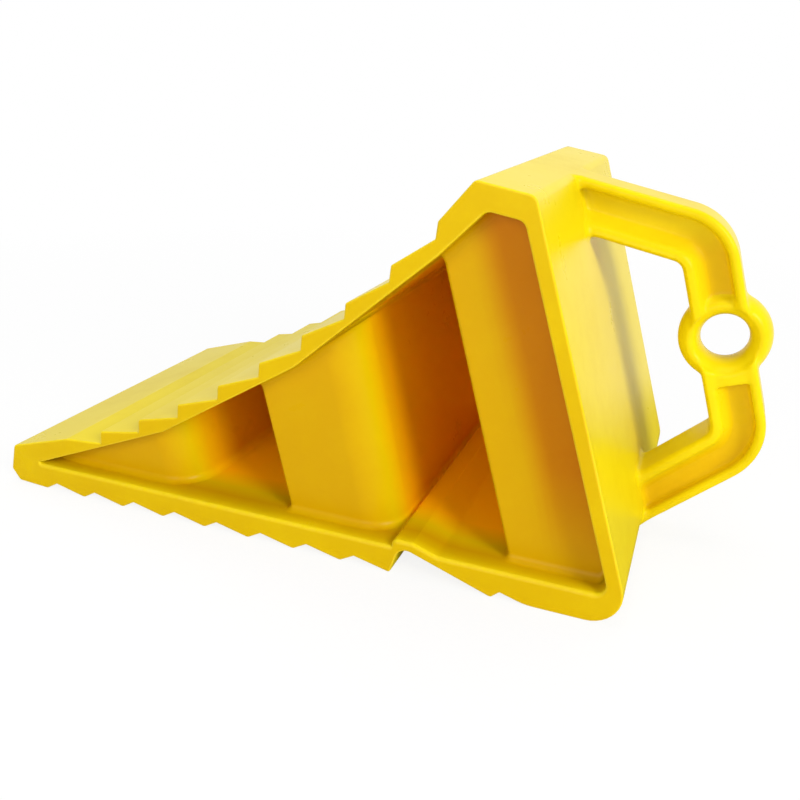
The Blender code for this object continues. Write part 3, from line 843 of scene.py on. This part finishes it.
bar_half = 0.01275
bar_thick_half = 0.014
bar_gap = 0.041
bend_inside = 0.007
bend_radius = bend_inside + bar_half
upper_root = (0.10075, 0.175025)
lower_root = (0.149691, 0.0235)
upper_fall, lower_rise = radians(11.7), radians(42.5)
grip_line = along(wall_foot, wall_lean, bar_gap + bar_half)
root_sunk = 0.004
root_blend = 0.0070
root_reach = 0.008
under_skin = 0.0001
ground_gap = 0.001

flange = 0.0048
flange_round = 0.0024
web_half = 0.0065
web_softness = 0.85
outer_fillet = 0.0030
inner_fillet = 0.0080
slant_start = -0.0022
slant_rate = 0.72

eyelet_centre = (0.176142, 0.115508)
eyelet_bore = 0.023
eyelet_outer = 0.0446
eyelet_thick_half = 0.0115
eyelet_middle = (eyelet_outer + eyelet_bore) / 4
eyelet_half = (eyelet_outer - eyelet_bore) / 4
eyelet_blend = 0.0030
land_half = 0.0115
land_thick_half = 0.0136
land_length = 0.0228
land_blend = 0.0025

skin_step = 0.0009
low_corner = Vector((0.080, -0.0285, -0.002))
high_corner = Vector((0.2065, 0.0285, 0.2000))
# Painted shade on the handle: a little on faces that face the sides, and a painted shadow in the web between
# the flanges below the upper arm.
face_painted_shade = 0.03
web_shadow_strength = 0.42
web_shadow_start = 0.002
web_shadow_fade = 0.005
web_shadow_top = 0.168
web_shadow_top_fade = 0.012

handle_inputs = {"Bar Half Width": bar_half, "Flange": flange, "Web Half": web_half, "Step": skin_step}
handle_tree, wire = new_tree("handle_form", handle_inputs)
spot = Wire.node(handle_tree, "GeometryNodeInputPosition")
x = Wire.node(handle_tree, "ShaderNodeSeparateXYZ", None, {0: spot})
y, z = x.of("Y"), x.of("Z")
thick = abs(y)


def reach(dx, dz):
    return (dx * dx + dz * dz) ** 0.5


def blended(first, second, width):
    """The nearer of two forms, with a fillet where they meet."""
    return first.maths("SMOOTH_MIN", second, width)


def right_of(point, heading):
    """Distance to the right of a line through a point."""
    return (x - point[0]) * sin(heading) - (z - point[1]) * cos(heading)


def outside(edges, rounds):
    """Distance outside a bent run of edges of (point, heading), which turns left round each corner."""
    far = None
    for point, heading in edges:
        side = right_of(point, heading)
        far = far.larger(side) if far else side
    for (first, heading), (second, next_heading), radius in zip(edges, edges[1:], rounds):
        corner = crossing(first, heading, second, next_heading)
        start = along(corner, heading, -radius * tan((next_heading - heading) / 2))
        centre = along(start, heading + pi / 2, radius)
        dx, dz = x - centre[0], z - centre[1]
        past = (dx * cos(heading) + dz * sin(heading)) > 0.0
        before = (dx * cos(next_heading) + dz * sin(next_heading)) < 0.0
        far = far.larger(past * before * (reach(dx, dz) - radius + 1.0) - 1.0)
    return far


bar_edges = [(lower_root, lower_rise), (grip_line, wall_heading), (upper_root, pi - upper_fall)]
chock_edges = [((0, 0), 0), (wall_foot, wall_heading), (crest_rear, pi - crest_fall)]
offset = outside(bar_edges, [bend_radius, bend_radius])
chock = outside(chock_edges, [heel_corner, crest_rear_round])
past_wall = right_of(wall_foot, wall_heading)
over_crest = right_of(crest_rear, pi - crest_fall)

flange_half = wire["Flange"] / 2
flange_line = wire["Bar Half Width"] - flange_half
flange_across = abs(abs(offset) - flange_line) - (flange_half - flange_round)
flange_deep = thick - (bar_thick_half - flange_round)
flange_outside = reach(flange_across.larger(0.0), flange_deep.larger(0.0))
flanges = flange_outside + flange_across.larger(flange_deep).smaller(0.0) - flange_round
slant = slant_rate * (slant_start - offset).larger(0.0)
web = ((thick - wire["Web Half"] - slant) * web_softness).larger(abs(offset) - flange_line)
fillet = outer_fillet + (inner_fillet - outer_fillet) * (offset < 0.0)
bar = blended(flanges, web, fillet).larger(-past_wall - root_sunk)

from_eye = reach(x - eyelet_centre[0], z - eyelet_centre[1])
in_eye = eyelet_middle - from_eye
down_grip = (x - eyelet_centre[0]) * cos(wall_heading - pi) + (z - eyelet_centre[1]) * sin(wall_heading - pi)
land = (abs(offset) - land_half).larger(thick - land_thick_half)
land = land.larger(down_grip - land_length).larger(-down_grip)
bar = bar.maths("SMOOTH_MAX", in_eye, land_blend)
land = land.maths("SMOOTH_MAX", in_eye, land_blend)
eyelet = (reach((from_eye - eyelet_middle) / eyelet_half, y / eyelet_thick_half) - 1.0) * eyelet_half
free = blended(blended(bar, land, land_blend), eyelet, eyelet_blend)
rooted = blended(free, chock + under_skin, root_blend).larger(over_crest + under_skin)
form = rooted.larger(-chock - root_sunk).larger(free - root_reach).larger(ground_gap - z)

cells = [(side / wire["Step"]).maths("CEIL") for side in high_corner - low_corner]
volume = Wire.node(
    handle_tree,
    "GeometryNodeVolumeCube",
    None,
    {
        "Density": 1.0 - form,
        "Background": 0.0,
        "Min": low_corner,
        "Max": high_corner,
        "Resolution X": cells[0],
        "Resolution Y": cells[1],
        "Resolution Z": cells[2],
    },
)
skin = Wire.node(
    handle_tree, "GeometryNodeVolumeToMesh", {"resolution_mode": "GRID"}, {"Volume": volume, "Threshold": 1.0}
)
# Painted shadow in the web's recess between the flanges, away from the eyelet and below the upper arm.
recessed = ((bar_thick_half - web_shadow_start - thick) / web_shadow_fade).clipped()
between_flanges = abs(offset) < bar_half - flange
off_eyelet = from_eye > eyelet_outer / 2
under_top = ((web_shadow_top - z) / web_shadow_top_fade).clipped()
nook = web_shadow_strength * (recessed * between_flanges * off_eyelet) * under_top
# Painted shade on faces that face the near and far sides.
normal = Wire.node(handle_tree, "GeometryNodeInputNormal")
facing = Wire.node(handle_tree, "ShaderNodeSeparateXYZ", None, {0: normal}, "Y")
for name, value in (("shelter", face_painted_shade * facing * facing), ("nook", nook)):
    skin = Wire.node(
        handle_tree,
        "GeometryNodeStoreNamedAttribute",
        {"data_type": "FLOAT", "domain": "POINT"},
        {"Geometry": skin, "Name": name, "Value": value},
    )
close_tree(handle_tree, skin, plastic)
handle_mesh = grown("handle", bpy.data.meshes.new("handle_seed"), handle_tree, handle_inputs)
handle_mesh.shade_smooth()
handle = bpy.data.objects.new("handle", handle_mesh)
bpy.context.scene.collection.objects.link(handle)
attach(handle, "root")
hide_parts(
    "handle_upper_arm",
    "handle_upper_bend",
    "handle_upper_grip",
    "eyelet",
    "handle_lower_grip",
    "handle_lower_bend",
    "handle_lower_arm",
)
